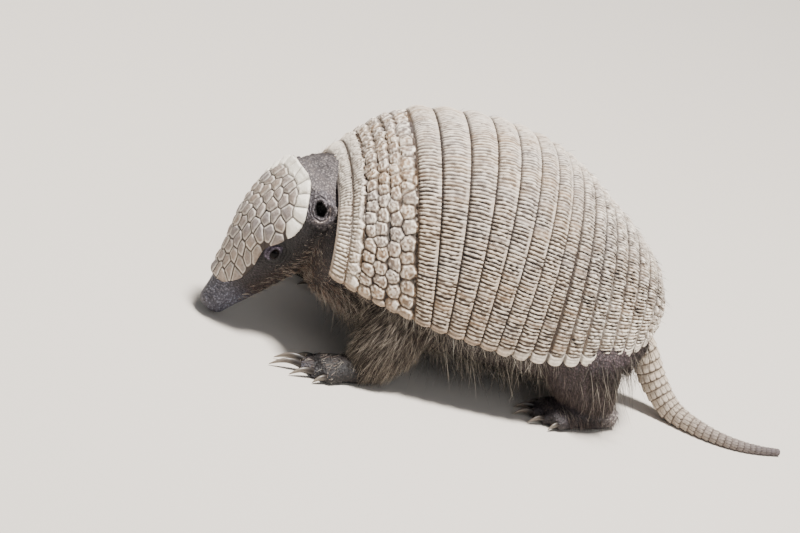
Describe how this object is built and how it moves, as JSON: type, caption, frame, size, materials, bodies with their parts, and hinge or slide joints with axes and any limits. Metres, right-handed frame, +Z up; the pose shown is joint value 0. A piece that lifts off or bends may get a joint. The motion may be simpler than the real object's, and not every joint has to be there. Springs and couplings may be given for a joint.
{
  "type": "pichi armadillo, life-size standing model",
  "caption": "Life-size model of a pichi, a small armoured armadillo, standing with its head down and its nose close to the ground, turned slightly to its left.",
  "frame": {"origin": "the middle of the bounding box, at floor level", "axes": "+X to the animal's left, +Y from the head towards the tail, +Z up"},
  "size_m": [0.1298, 0.2711, 0.1099],
  "materials": {
    "shell": "dry bony scutes under thin horn, matt, pale tan-grey with darker grooves",
    "head_plates": "head-shield scutes, matt beige-grey with a paler rear rim",
    "bare_skin": "dark wrinkled bare skin, slightly waxy",
    "leg_fur": "short dark brown fur with paler tips, matt",
    "tail_scutes": "rings of small pale scutes, matt",
    "claw": "worn horn, satin",
    "nose": "bare slate-grey nose skin, fine grained",
    "eye": "wet black eyeball, glossy"
  },
  "bodies": {
    "root": {"neck_band_front": "shell", "neck_band_rear": "shell", "shoulder_shield": "shell", "band_1": "shell", "band_2": "shell", "band_3": "shell", "band_4": "shell", "band_5": "shell", "band_6": "shell", "band_7": "shell", "hip_shield": "shell", "head_shield": "head_plates", "trunk": "leg_fur", "head": "bare_skin", "neck": "bare_skin", "ear_left": "bare_skin", "ear_right": "bare_skin", "eye_left": "eye", "eye_right": "eye", "nose": "nose", "tail_base": "tail_scutes", "tail_end": "tail_scutes", "leg_front_left_upper": "leg_fur", "leg_front_left_lower": "leg_fur", "foot_front_left": "bare_skin", "claw_front_left_1": "claw", "claw_front_left_2": "claw", "claw_front_left_3": "claw", "claw_front_left_4": "claw", "claw_front_left_5": "claw", "leg_front_right_upper": "leg_fur", "leg_front_right_lower": "leg_fur", "foot_front_right": "bare_skin", "claw_front_right_1": "claw", "claw_front_right_2": "claw", "claw_front_right_3": "claw", "claw_front_right_4": "claw", "claw_front_right_5": "claw", "leg_hind_left_upper": "leg_fur", "leg_hind_left_lower": "leg_fur", "foot_hind_left": "bare_skin", "claw_hind_left_1": "claw", "claw_hind_left_2": "claw", "claw_hind_left_3": "claw", "claw_hind_left_4": "claw", "claw_hind_left_5": "claw", "leg_hind_right_upper": "leg_fur", "leg_hind_right_lower": "leg_fur", "foot_hind_right": "bare_skin", "claw_hind_right_1": "claw", "claw_hind_right_2": "claw", "claw_hind_right_3": "claw", "claw_hind_right_4": "claw", "claw_hind_right_5": "claw"}
  },
  "joints": []
}
